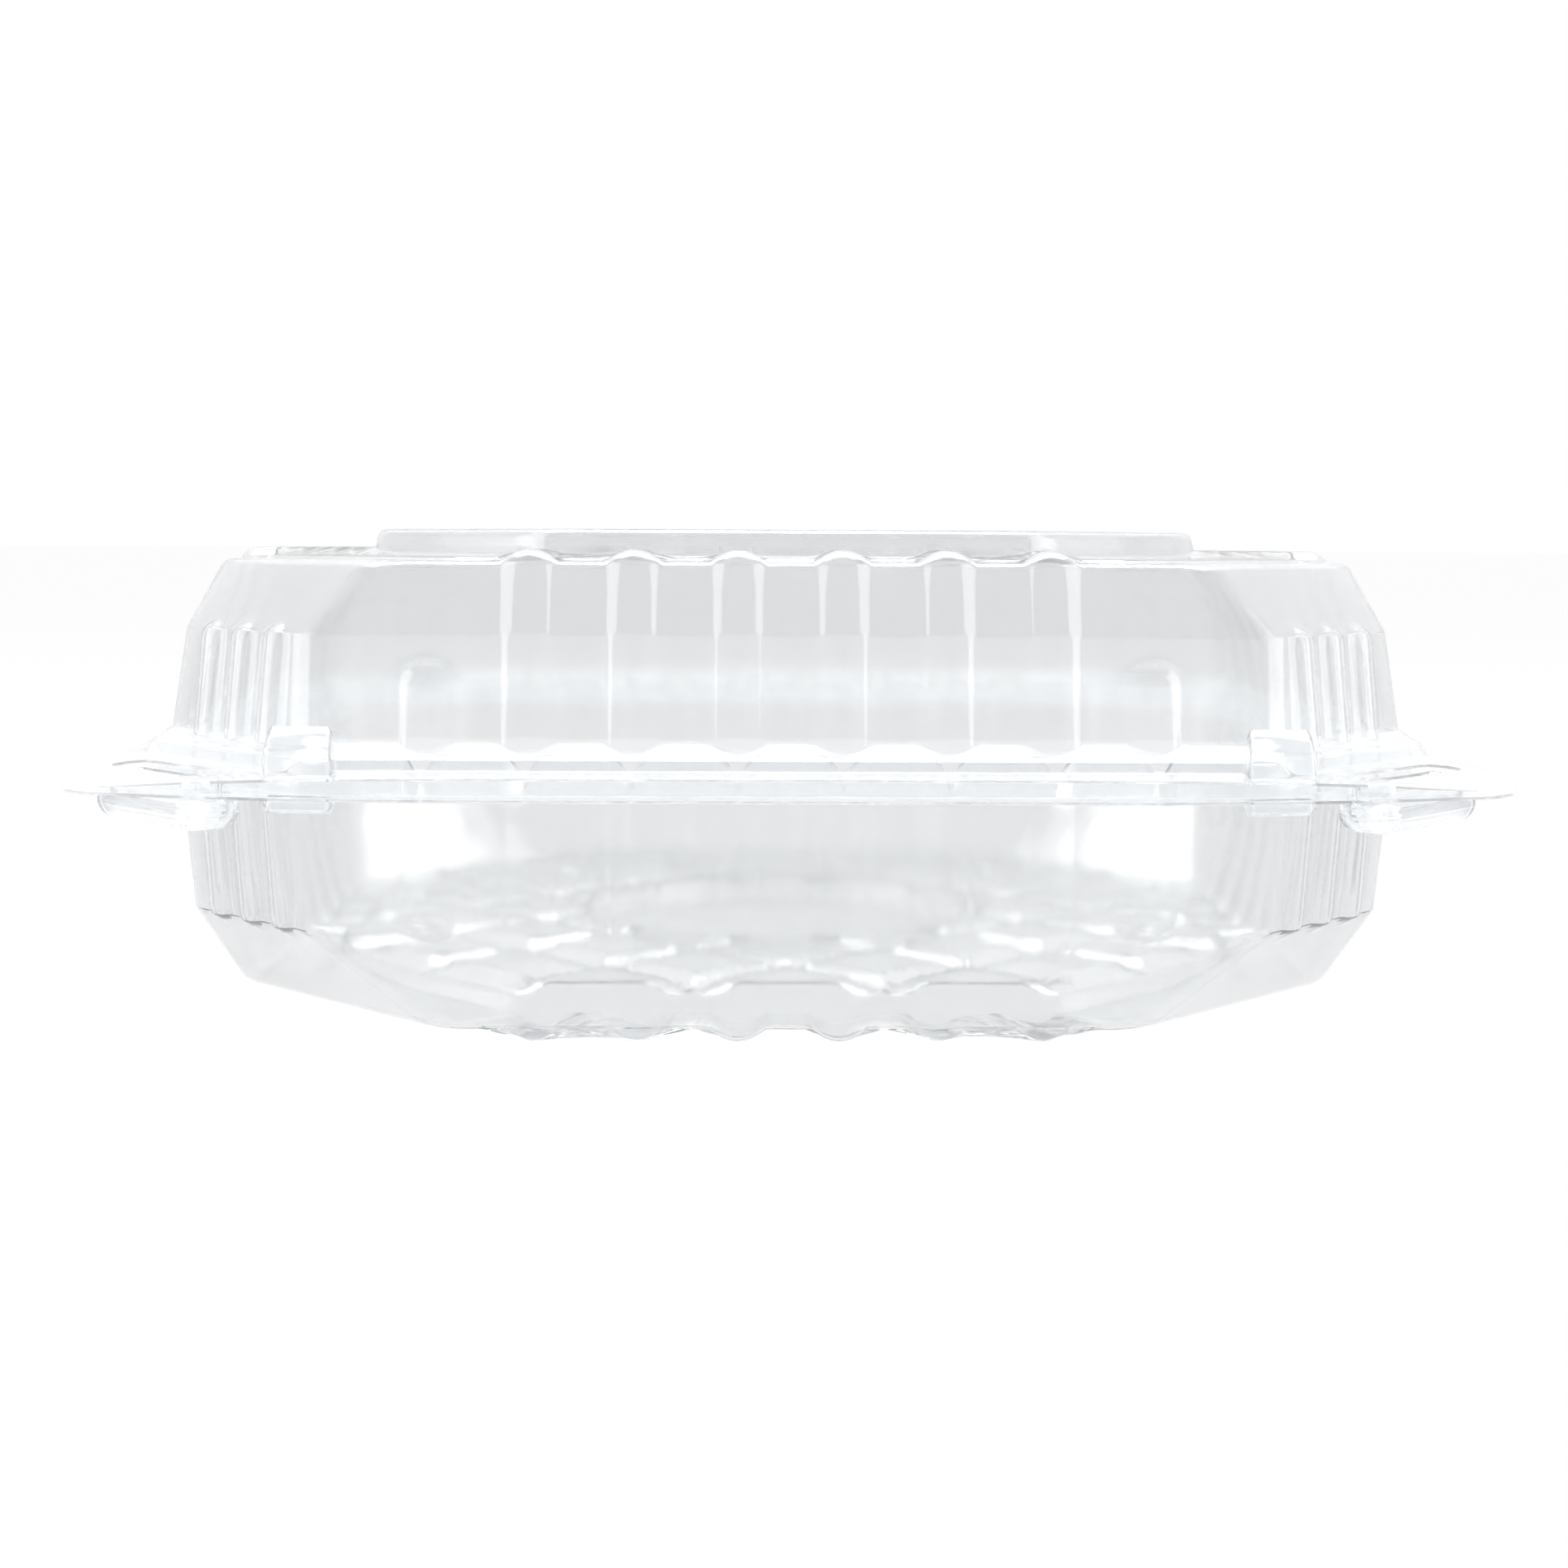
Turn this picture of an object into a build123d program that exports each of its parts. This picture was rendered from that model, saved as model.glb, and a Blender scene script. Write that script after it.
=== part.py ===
"""Clear hinged clamshell box, formed from one sheet of plastic.

Frame: millimetres, +Z up, X along the front edge, -Y towards the front.
The origin is on the surface that the box stands on, under the middle of its rim.
A tray and a domed lid each carry a flat rim. The lid turns about a fold behind the rear edge of the rims.
"""

import os
from math import ceil, sqrt

from build123d import *

# ---------------------------------------------------------------- sheet, overall sizes and fits
SHEET = 0.4
RIM_WIDTH = 210.0
RIM_CORNER_RADIUS = 8.0
TOTAL_HEIGHT = 76.2
CLEARANCE = 0.4
CUT_MARGIN = 2.0  # how far a cutting shape runs past what it cuts

# ---------------------------------------------------------------- heights
TRAY_RIM_HEIGHT = 38.0
RIM_GAP = 3.5  # from the top of the tray's rim to the top of the lid's
SHOULDER_RISE = 4.1
PLATFORM_RISE = 4.8
LEDGE_STEP = 0.5

# ---------------------------------------------------------------- walls of the tray and the dome
FLANGE_WIDTH = 9.0  # from the walls to the edge of the rim
CORNER_CUT = 26.5  # how much of each side the fluted corner wall takes
TRAY_LEAN = 7.5
TRAY_FACET_CUT = 36.5
TRAY_FACET_RISE = 15.3
TRAY_EDGE_RADIUS = 2.0
LID_LEAN = 6.5
LID_FACET_CUT = 29.0
LID_FACET_DROP = 11.0
LID_EDGE_RADIUS = 3.0

# ---------------------------------------------------------------- shoulder of the lid, over the tray's bead
SHOULDER_WIDTH = 4.2
SHOULDER_LEAN = 0.8

# ---------------------------------------------------------------- ribs and flutes
RIB_WIDTH = 8.6
RIB_PROUD = 1.75
RIB_PITCH = 15.25
LONG_RIBS = 6
SHORT_RIB_PLACE = 52.6
SHORT_RIB_TRAY_RISE = 14.65  # from the floor's border to the rib's end
SHORT_RIB_LID_DROP = 13.9  # from the dome's border to the rib's end
FLUTE_WIDTH = 6.0
FLUTE_PROUD = 1.2
FLUTE_PITCH = 8.4
FLUTES = 3
FLUTE_TRAY_RISE = 13.75
FLUTE_LID_DROP = 8.9

# ---------------------------------------------------------------- raised floor, its grooves and its middle
FLOOR_BORDER_WIDTH = 11.5
PANEL_CUT = 34.5
PANEL_RISE = 4.95
PANEL_LEAN = 1.0
GROOVE_PITCH = 29.2  # between groove crossings, along X and along Y
GROOVE_WIDTH = 5.7
GROOVE_DEPTH = 1.8
MIDDLE_RADIUS = 37.0
MIDDLE_DROP = 3.4
MIDDLE_LEAN = 1.5

# ---------------------------------------------------------------- stacking platform and ledge on the dome
PLATFORM_BORDER = 20.0
PLATFORM_CUT = 31.5
PLATFORM_LEAN = 0.8
LEDGE_BORDER = 4.5
LEDGE_CUT = 34.0

# ---------------------------------------------------------------- snap locks in the front corners
SNAP_LENGTH = 28.0
SNAP_WIDTH = 10.0
SNAP_INSET = 14.0  # from the rim's edges to the lock's middle
SNAP_DEPTH = 5.0
SNAP_LEAN = 0.6

# ---------------------------------------------------------------- front lugs
LUG_INSET = 35.4  # from the rim's side edge to the lug's middle
LUG_LENGTH = 10.2
LUG_EDGE = 1.4  # from the rim's front edge to the lug
LUG_RISE = 6.8
LUG_LEAN = 1.2
TRAY_LUG_DROP = 2.7

# ---------------------------------------------------------------- fold at the rear edge
HINGE_INSET = 17.0  # from the rim's side edge to the end of the hinge strip
FOLD_GAP = 0.2

# ---------------------------------------------------------------- what follows from the sizes above
RIM_HALF = RIM_WIDTH / 2
MOUTH_HALF = RIM_HALF - FLANGE_WIDTH
MOUTH_CORNER = MOUTH_HALF - CORNER_CUT
FLOOR_HALF = MOUTH_HALF - TRAY_LEAN
TOP_HALF = MOUTH_HALF - LID_LEAN
PANEL_HALF = FLOOR_HALF - FLOOR_BORDER_WIDTH
PLATFORM_HALF = TOP_HALF - PLATFORM_BORDER
LEDGE_HALF = TOP_HALF - LEDGE_BORDER
BEAD_WIDTH = SHOULDER_WIDTH - SHOULDER_LEAN - SHEET - CLEARANCE
LUG_FRONT = RIM_HALF - LUG_EDGE
LUG_BACK = MOUTH_HALF + BEAD_WIDTH + CLEARANCE  # the lugs stand just outside the bead
FLOOR_BORDER = RIB_PROUD  # the long ribs turn under the floor and are the feet
PANEL_TOP = FLOOR_BORDER + PANEL_RISE
LID_RIM_HEIGHT = TRAY_RIM_HEIGHT + RIM_GAP
SHOULDER_TOP = LID_RIM_HEIGHT + SHOULDER_RISE
BEAD_TOP = SHOULDER_TOP - SHEET - CLEARANCE
LEDGE_HEIGHT = TOTAL_HEIGHT - PLATFORM_RISE  # top of the dome's border, round the platform
FOLD_HEIGHT = (TRAY_RIM_HEIGHT + LID_RIM_HEIGHT - SHEET) / 2
CORNER_SHARE = sqrt(2) - 1  # an octagon's corner moves by this share of what its sides move


def at_height(low, high, height):
    """(height, half width, corner) of a straight wall at `height`, from two of its levels."""
    share = (height - low[0]) / (high[0] - low[0])
    return (height, low[1] + (high[1] - low[1]) * share, low[2] + (high[2] - low[2]) * share)


def moved_in(levels, inset, rise):
    """The same levels with their sides moved in by `inset` and lifted by `rise`."""
    return [(z + rise, half - inset, corner - inset * CORNER_SHARE) for z, half, corner in levels]


def proud_radius(width, proud):
    """Radius of a round rib that is `width` wide and stands `proud` of its wall."""
    return (width**2 / 4 + proud**2) / (2 * proud)


RIB_RADIUS = proud_radius(RIB_WIDTH, RIB_PROUD)
RIB_SUNK = RIB_RADIUS - RIB_PROUD
FLUTE_RADIUS = proud_radius(FLUTE_WIDTH, FLUTE_PROUD)
FLUTE_SUNK = FLUTE_RADIUS - FLUTE_PROUD
LONG_RIB_PLACES = [(i - (LONG_RIBS - 1) / 2) * RIB_PITCH for i in range(LONG_RIBS)]
FLUTE_PLACES = [(i - (FLUTES - 1) / 2) * FLUTE_PITCH for i in range(FLUTES)]

TRAY_LOW = (FLOOR_BORDER, FLOOR_HALF, FLOOR_HALF - TRAY_FACET_CUT)
TRAY_MOUTH = (TRAY_RIM_HEIGHT, MOUTH_HALF, MOUTH_CORNER)
TRAY_FACET = (*at_height(TRAY_LOW, TRAY_MOUTH, FLOOR_BORDER + TRAY_FACET_RISE)[:2], MOUTH_CORNER)
DOME_MOUTH = (SHOULDER_TOP, MOUTH_HALF, MOUTH_CORNER)
DOME_TOP = (LEDGE_HEIGHT, TOP_HALF, TOP_HALF - LID_FACET_CUT)
DOME_FACET = (*at_height(DOME_MOUTH, DOME_TOP, LEDGE_HEIGHT - LID_FACET_DROP)[:2], MOUTH_CORNER)


def octagon(half, corner):
    """Square of half width `half` whose own corners are cut off at `corner`, drawn in a sketch."""
    ring = [(corner, -half), (half, -corner), (half, corner), (corner, half)]
    return Polygon(*ring, *[(-x, -y) for x, y in ring], align=None)


def stack(levels):
    """Solid through octagons, each given as (height, half width, corner)."""
    with BuildPart() as body:
        for low, high in zip(levels, levels[1:]):
            for height, half, corner in (low, high):
                with BuildSketch(Plane.XY.offset(height)):
                    octagon(half, corner)
            loft(ruled=True)
    return body.part


def round_bar(points, radius):
    """Round bar along straight runs, with a ball at its last point."""
    with BuildPart() as bar:
        with BuildLine() as path:
            Polyline(*points)
        with BuildSketch(Plane(origin=path.line @ 0, z_dir=path.line % 0)):
            Circle(radius)
        sweep(transition=Transition.ROUND)
        with Locations(points[-1]):
            Sphere(radius)
    return bar.part


def wall_bars(mouth, edge, ledge_end, short_end, flute_end, inset):
    """All ribs and flutes of one side, from the mouth to the edge and on over the border.

    The centre lines are the same for both faces of the sheet, so `inset` alone sets its thickness.
    """
    away = 1 if mouth[0] > edge[0] else -1
    start = mouth[0] + away * CUT_MARGIN
    turn = edge[0] + away * RIB_SUNK

    def centre(x, z, depth):
        return (x, depth - at_height(edge, mouth, z)[1], z)

    bars = []
    for x in LONG_RIB_PLACES:
        runs = [centre(x, start, RIB_SUNK), centre(x, turn, RIB_SUNK), (x, -ledge_end, turn)]
        bars.append(round_bar(runs, RIB_RADIUS - inset))
    for x in (-SHORT_RIB_PLACE, SHORT_RIB_PLACE):
        short_turn = short_end + away * RIB_RADIUS
        runs = [centre(x, start, RIB_SUNK), centre(x, short_turn, RIB_SUNK)]
        bars.append(round_bar(runs, RIB_RADIUS - inset))
    for along in FLUTE_PLACES:
        runs = []
        for z in (start, flute_end + away * FLUTE_RADIUS):
            out = (at_height(edge, mouth, z)[1] + MOUTH_CORNER) / sqrt(2) - FLUTE_SUNK
            runs.append(((out + along) / sqrt(2), (along - out) / sqrt(2), z))
        bars.append(round_bar(runs, FLUTE_RADIUS - inset))
    return bars


def raised_floor(inset):
    """What the floor panel stands over: its octagon, less its crossing grooves and its middle."""
    top = PANEL_TOP - inset
    low = (FLOOR_BORDER, PANEL_HALF, PANEL_HALF - PANEL_CUT)
    high = (PANEL_TOP, *moved_in([low], PANEL_LEAN, 0)[0][1:])
    walls = moved_in([at_height(low, high, z) for z in (-CUT_MARGIN, PANEL_TOP)], inset, 0)
    groove_radius = proud_radius(GROOVE_WIDTH, GROOVE_DEPTH)
    groove_step = GROOVE_PITCH / sqrt(2)
    reach = ceil((2 * PANEL_HALF - PANEL_CUT) / sqrt(2) / groove_step)
    with BuildPart() as panel:
        add(stack([walls[0], (top, *walls[1][1:])]))
        for turn in (45, -45):
            across = Plane.XZ.rotated((0, 0, turn)).offset(-RIM_WIDTH)
            with BuildSketch(across):
                for i in range(-reach, reach + 1):
                    with Locations((i * groove_step, PANEL_TOP - GROOVE_DEPTH + groove_radius)):
                        Circle(groove_radius + inset)
            extrude(amount=2 * RIM_WIDTH, mode=Mode.SUBTRACT)
        with BuildSketch(Plane.XY.offset(PANEL_TOP - MIDDLE_DROP - inset)):
            Circle(MIDDLE_RADIUS - MIDDLE_LEAN + inset)
        with BuildSketch(Plane.XY.offset(PANEL_TOP)):
            Circle(MIDDLE_RADIUS + inset)
        loft(mode=Mode.SUBTRACT)
    return panel.part


def tray_form(inset):
    """One face of the tray's sheet as a solid: the outer face at 0, the inner face at one sheet."""
    levels = moved_in([TRAY_LOW, TRAY_FACET, TRAY_MOUTH], inset, 0)
    levels[0] = (TRAY_LOW[0] + inset, *levels[0][1:])
    with BuildPart() as form:
        add(stack(levels))
        fillet(form.faces().sort_by(Axis.Z)[0].edges(), TRAY_EDGE_RADIUS - inset / 2)
        ends = (TRAY_LOW[0] + SHORT_RIB_TRAY_RISE, TRAY_LOW[0] + FLUTE_TRAY_RISE)
        bars = wall_bars(TRAY_MOUTH, TRAY_LOW, PANEL_HALF, *ends, inset)
        with PolarLocations(0, 4):
            add(bars)
        add(raised_floor(SHEET - inset), mode=Mode.SUBTRACT)
        split(bisect_by=Plane.XY.offset(TRAY_RIM_HEIGHT), keep=Keep.BOTTOM)
    return form.part


def dome_form(inset):
    """One face of the dome's sheet as a solid: the outer face at 0, the inner face at one sheet."""
    levels = moved_in([DOME_MOUTH, DOME_FACET, DOME_TOP], inset, 0)
    levels[-1] = (DOME_TOP[0] - inset, *levels[-1][1:])
    foot = LEDGE_HEIGHT - CUT_MARGIN
    ledge_corner = LEDGE_HALF - LEDGE_CUT
    platform_corner = PLATFORM_HALF - PLATFORM_CUT
    ledge = [
        (foot, LEDGE_HALF, ledge_corner),
        (LEDGE_HEIGHT + LEDGE_STEP, LEDGE_HALF - LEDGE_STEP, ledge_corner),
    ]
    platform = [
        (foot, PLATFORM_HALF, platform_corner),
        (TOTAL_HEIGHT, PLATFORM_HALF - PLATFORM_LEAN, platform_corner),
    ]
    with BuildPart() as form:
        add(stack(levels))
        fillet(form.faces().sort_by(Axis.Z)[-1].edges(), LID_EDGE_RADIUS - inset / 2)
        ends = (LEDGE_HEIGHT - SHORT_RIB_LID_DROP, LEDGE_HEIGHT - FLUTE_LID_DROP)
        bars = wall_bars(DOME_MOUTH, DOME_TOP, PLATFORM_HALF, *ends, inset)
        with PolarLocations(0, 4):
            add(bars)
        for step in (ledge, platform):
            inner = moved_in(step, inset, 0)
            inner[-1] = (step[-1][0] - inset, *inner[-1][1:])
            add(stack(inner))
        split(bisect_by=Plane.XY.offset(SHOULDER_TOP), keep=Keep.TOP)
    return form.part


def snap_cup(top, bottom, inset):
    """Long round cup in the front left corner, along the corner wall, from `top` down to `bottom`."""
    place = SNAP_INSET - RIM_HALF
    across = Plane(origin=(place, place, 0), x_dir=(1, -1, 0), z_dir=(0, 0, 1))
    with BuildPart() as cup:
        for height in (bottom, top):
            lean = SNAP_LEAN * (top - height) / SNAP_DEPTH
            with BuildSketch(across.offset(height)):
                SlotOverall(SNAP_LENGTH - 2 * (inset + lean), SNAP_WIDTH - 2 * (inset + lean))
        loft(ruled=True)
    return cup.part


def lug_block(foot, tip, inset):
    """Block in the front left of a rim from `foot` to `tip`, with a sloping front face."""
    lean = LUG_LEAN * abs(tip - foot) / LUG_RISE
    depth = LUG_FRONT - LUG_BACK
    with BuildPart() as block:
        for height, slope in sorted([(foot, 0.0), (tip, lean)]):
            with BuildSketch(Plane.XY.offset(height)):
                with Locations((LUG_INSET - RIM_HALF, (slope - LUG_FRONT - LUG_BACK) / 2)):
                    Rectangle(LUG_LENGTH - slope - 2 * inset, depth - slope - 2 * inset)
        loft(ruled=True)
    return block.part


SNAP_BOTTOM = TRAY_RIM_HEIGHT - SNAP_DEPTH
SNAP_FIT = SHEET + CLEARANCE
TRAY_SNAP_OUT = snap_cup(TRAY_RIM_HEIGHT, SNAP_BOTTOM, 0)
TRAY_SNAP_IN = snap_cup(TRAY_RIM_HEIGHT, SNAP_BOTTOM + SHEET, SHEET)
LID_SNAP_OUT = snap_cup(LID_RIM_HEIGHT, SNAP_BOTTOM + SNAP_FIT, SNAP_FIT)
LID_SNAP_IN = snap_cup(LID_RIM_HEIGHT, SNAP_BOTTOM + SNAP_FIT + SHEET, SNAP_FIT + SHEET)
LID_LUG_FOOT = LID_RIM_HEIGHT - SHEET
LID_LUG_TIP = LID_RIM_HEIGHT + LUG_RISE
LID_LUG_OUT = lug_block(LID_LUG_FOOT, LID_LUG_TIP, 0)
LID_LUG_IN = lug_block(LID_LUG_FOOT, LID_LUG_TIP - SHEET, SHEET)
TRAY_LUG_TIP = TRAY_RIM_HEIGHT - TRAY_LUG_DROP
TRAY_LUG_OUT = lug_block(TRAY_RIM_HEIGHT, TRAY_LUG_TIP, 0)
TRAY_LUG_IN = lug_block(TRAY_RIM_HEIGHT, TRAY_LUG_TIP + SHEET, SHEET)


def both_sides(shape):
    """The shape and its mirror image across the box's middle."""
    return [shape, mirror(shape, about=Plane.YZ, mode=Mode.PRIVATE)]


def save(part, name):
    """Name one finished piece and write it."""
    part.label = name
    export_step(part, f"parts/{name}.step")


os.makedirs("parts", exist_ok=True)

# ---------------------------------------------------------------- tray and dome
with BuildPart() as tray:
    add(tray_form(0))
    add(tray_form(SHEET), mode=Mode.SUBTRACT)
save(tray.part, "tray")

with BuildPart() as dome:
    add(dome_form(0))
    add(dome_form(SHEET), mode=Mode.SUBTRACT)
save(dome.part, "dome")

# ---------------------------------------------------------------- rims, with the bead and the shoulder


def rim(height, edge_top, edge_width, lean, hollow_half):
    """Flat rim at `height` that steps up to `edge_top` round the mouth, as one sheet.

    `hollow_half` is where the space under the step ends inwards: at the mouth's wall for the tray's
    bead, and inside the wall for the dome's shoulder.
    """
    foot = height - SHEET
    out = moved_in([(foot, MOUTH_HALF, MOUTH_CORNER)], -edge_width, 0)[0]
    top = moved_in([(edge_top, MOUTH_HALF, MOUTH_CORNER)], lean - edge_width, 0)[0]
    hollow = moved_in([out, (edge_top - SHEET, *top[1:])], SHEET, 0)
    mouth = moved_in([(0, MOUTH_HALF, MOUTH_CORNER)], SHEET, 0)[0][1:]
    core = moved_in([(0, MOUTH_HALF, MOUTH_CORNER)], MOUTH_HALF - hollow_half, 0)[0][1:]
    with BuildPart() as void:
        add(stack(hollow))
        if hollow_half == MOUTH_HALF:
            with BuildSketch(Plane.XY.offset(height)):
                octagon(*core)
            extrude(amount=edge_top - height, mode=Mode.SUBTRACT)
    with BuildPart() as ring:
        with BuildSketch(Plane.XY.offset(foot)):
            RectangleRounded(RIM_WIDTH, RIM_WIDTH, RIM_CORNER_RADIUS)
        extrude(amount=SHEET)
        add(stack([out, top]))
        add(void.part, mode=Mode.SUBTRACT)
        with BuildSketch(Plane.XY.offset(foot)):
            octagon(*mouth)
        extrude(amount=edge_top - foot, mode=Mode.SUBTRACT)
    return ring.part


with BuildPart() as tray_rim:
    add(rim(TRAY_RIM_HEIGHT, BEAD_TOP, BEAD_WIDTH, 0.0, MOUTH_HALF))
    add(both_sides(TRAY_SNAP_OUT) + both_sides(TRAY_LUG_OUT), mode=Mode.SUBTRACT)
save(tray_rim.part, "tray_rim")

with BuildPart() as lid_rim:
    add(rim(LID_RIM_HEIGHT, SHOULDER_TOP, SHOULDER_WIDTH, SHOULDER_LEAN, MOUTH_HALF - SHEET))
    add(both_sides(LID_SNAP_OUT) + both_sides(LID_LUG_OUT), mode=Mode.SUBTRACT)
save(lid_rim.part, "lid_rim")

# ---------------------------------------------------------------- snap locks and lugs, left and right
FITTINGS = {
    "tray_snap": (TRAY_SNAP_OUT, TRAY_SNAP_IN),
    "lid_snap": (LID_SNAP_OUT, LID_SNAP_IN),
    "tray_lug": (TRAY_LUG_OUT, TRAY_LUG_IN),
    "lid_lug": (LID_LUG_OUT, LID_LUG_IN),
}
for name, (outer, inner) in FITTINGS.items():
    for side, out, void in zip(("left", "right"), both_sides(outer), both_sides(inner)):
        with BuildPart() as fitting:
            add(out)
            add(void, mode=Mode.SUBTRACT)
        save(fitting.part, f"{name}_{side}")

# ---------------------------------------------------------------- hinge strip, a leaf on each side of its fold
LEAVES = {
    "tray_hinge_leaf": (TRAY_RIM_HEIGHT, FOLD_HEIGHT - FOLD_GAP / 2),
    "lid_hinge_leaf": (FOLD_HEIGHT + FOLD_GAP / 2, LID_RIM_HEIGHT - SHEET),
}
for name, (low, high) in LEAVES.items():
    with BuildPart() as leaf:
        with BuildSketch(Plane.XY.offset(low)):
            with Locations((0, RIM_HALF - SHEET / 2)):
                Rectangle(RIM_WIDTH - 2 * HINGE_INSET, SHEET)
        extrude(amount=high - low)
    save(leaf.part, name)
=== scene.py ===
"""Clear hinged clamshell box: two thin formed sheets, a tray and a domed lid, and the strip they fold on.

The frame is metres, +Z up, -Y towards the front. Sheet sizes are named in millimetres and turned into metres
when a mesh gets its points.
"""

import math

import bpy
import numpy as np
from mathutils import Matrix, Vector


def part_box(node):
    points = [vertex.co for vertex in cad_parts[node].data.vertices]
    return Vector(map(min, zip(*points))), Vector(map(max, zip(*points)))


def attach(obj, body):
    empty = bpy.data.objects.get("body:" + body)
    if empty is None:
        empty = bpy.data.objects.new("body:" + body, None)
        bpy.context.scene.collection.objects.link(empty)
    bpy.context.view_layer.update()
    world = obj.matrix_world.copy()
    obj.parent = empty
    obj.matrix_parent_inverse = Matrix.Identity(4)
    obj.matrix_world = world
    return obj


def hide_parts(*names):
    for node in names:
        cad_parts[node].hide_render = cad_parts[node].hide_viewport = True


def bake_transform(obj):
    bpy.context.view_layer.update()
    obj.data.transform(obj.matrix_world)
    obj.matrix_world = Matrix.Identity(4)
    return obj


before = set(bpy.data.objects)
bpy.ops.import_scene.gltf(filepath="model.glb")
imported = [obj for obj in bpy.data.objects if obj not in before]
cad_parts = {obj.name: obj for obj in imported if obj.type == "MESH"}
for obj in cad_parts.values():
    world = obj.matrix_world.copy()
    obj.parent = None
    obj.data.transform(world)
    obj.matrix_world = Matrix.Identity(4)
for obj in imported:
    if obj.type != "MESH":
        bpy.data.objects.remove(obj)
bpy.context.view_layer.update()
MM = 0.001


def box_mm(node):
    """Lowest and highest corner of a frame node, in millimetres."""
    low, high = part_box(node)
    return np.array(low) / MM, np.array(high) / MM


# ---------------------------------------------------------------- sizes read from the frame
RIM_HIGH = box_mm("tray_rim")[1]
LID_RIM_LOW, LID_RIM_HIGH = box_mm("lid_rim")
SNAP_LOW, SNAP_HIGH = box_mm("tray_snap_left")
LUG_LOW, LUG_HIGH = box_mm("lid_lug_left")
LEAF_LOW, LEAF_HIGH = box_mm("tray_hinge_leaf")
RIM_HALF, BEAD_TOP = RIM_HIGH[0], RIM_HIGH[2]
TRAY_TOP = box_mm("tray")[1][2]
TOTAL = box_mm("dome")[1][2]
SHOULDER_TOP = LID_RIM_HIGH[2]
LID_SNAP_FOOT = box_mm("lid_snap_left")[0][2]
TRAY_LUG_FOOT = box_mm("tray_lug_left")[0][2]

# ---------------------------------------------------------------- sheet and plan, in millimetres
SHEET, STRIP_SHEET = 0.4, 0.25
FLANGE = 9.0
MOUTH_HALF = RIM_HALF - FLANGE
MOUTH_CORNER = MOUTH_HALF - 26.5
EDGE_CORNER = RIM_HALF - 6.5
TIP_START, TIP_RUN = 112, 30
LID_RIM = LID_RIM_LOW[2] + SHEET
LEDGE = TOTAL - 4.8
LEDGE_OUT, PLATFORM_OUT = 85.0, 69.6
CORNER_SHARE = math.tan(math.pi / 8)
CORNER_ROUND = 8.0

# ---------------------------------------------------------------- locks and lugs
PLUG_ROOM = 1.3
LID_LUG_SLOPE, TRAY_LUG_SLOPE = 3.0, 0.8

# ---------------------------------------------------------------- ribs and flutes
RIB_WIDTH, RIB_PROUD, RIB_PITCH = 8.6, 1.75, 15.25
LONG_RIBS = [(i - 2.5) * RIB_PITCH for i in range(6)]
SHORT_RIBS = [-52.6, 52.6]
FLUTE_WIDTH, FLUTE_PROUD = 6.0, 1.3
FLUTES = [-8.4, 0.0, 8.4]
LONG_RIBS_END, FLUTES_END = 42.9, 11.8
RIB_STEPS, GAP_STEPS, END_STEPS, ROUND_STEPS, FLUTE_STEPS, FLUTE_GAP_STEPS = 8, 3, 4, 4, 6, 2

# ---------------------------------------------------------------- floor of the tray
BORDER = RIB_PROUD
PANEL_HALF, PANEL_CORNER, PANEL_TOP = 77.0, 42.5, 6.7
GROOVE_STEP, GROOVE_WIDTH, GROOVE_DEPTH = 29.2 / math.sqrt(2), 5.7, 1.8
MIDDLE_RADIUS, MIDDLE_TOP = 37.0, 3.3


# ================================================================ columns round the box
def spread(stops, steps):
    """Points from each stop to the next, in the given numbers of even steps, the last stop left out."""
    runs = [np.linspace(a, b, n, endpoint=False) for a, b, n in zip(stops, stops[1:], steps)]
    return np.concatenate(runs)


def band_stops(middles, width, end):
    """Ends of each band along a line from -end to end."""
    stops = [-end]
    for middle in middles:
        stops += [middle - width / 2, middle + width / 2]
    return stops + [end]


ROUND_RUN = CORNER_ROUND * CORNER_SHARE
SIDE_END = MOUTH_CORNER - ROUND_RUN
CHAMFER_END = (MOUTH_HALF - MOUTH_CORNER) / math.sqrt(2) - ROUND_RUN
ALL_RIBS = sorted(LONG_RIBS + SHORT_RIBS)
SIDE = spread(
    band_stops(ALL_RIBS, RIB_WIDTH, SIDE_END),
    [END_STEPS] + [RIB_STEPS, GAP_STEPS] * (len(ALL_RIBS) - 1) + [RIB_STEPS, END_STEPS],
)
CHAMFER = spread(
    band_stops(FLUTES, FLUTE_WIDTH, CHAMFER_END),
    [FLUTE_GAP_STEPS] + [FLUTE_STEPS, FLUTE_GAP_STEPS] * len(FLUTES),
)
ROUND = np.linspace(0, 1, ROUND_STEPS, endpoint=False)
QUARTER = len(SIDE) + len(CHAMFER) + 2 * ROUND_STEPS
AROUND = 4 * QUARTER
FAR = 1e3
SIDE_AT = np.tile(np.concatenate([SIDE, np.full(QUARTER - len(SIDE), FAR)]), 4)
CHAMFER_AT = np.tile(
    np.concatenate([np.full(len(SIDE) + ROUND_STEPS, FAR), CHAMFER, np.full(ROUND_STEPS, FAR)]), 4
)


def stretched(places, kept, old_end, new_end):
    """Places along a line whose middle stretch stays and whose ends move from old_end to new_end."""
    if kept > 0.9 * new_end:
        return places * new_end / old_end
    over = (np.abs(places) - kept).clip(0) * (new_end - kept) / (old_end - kept)
    return np.clip(places, -kept, kept) + np.sign(places) * over


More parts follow.
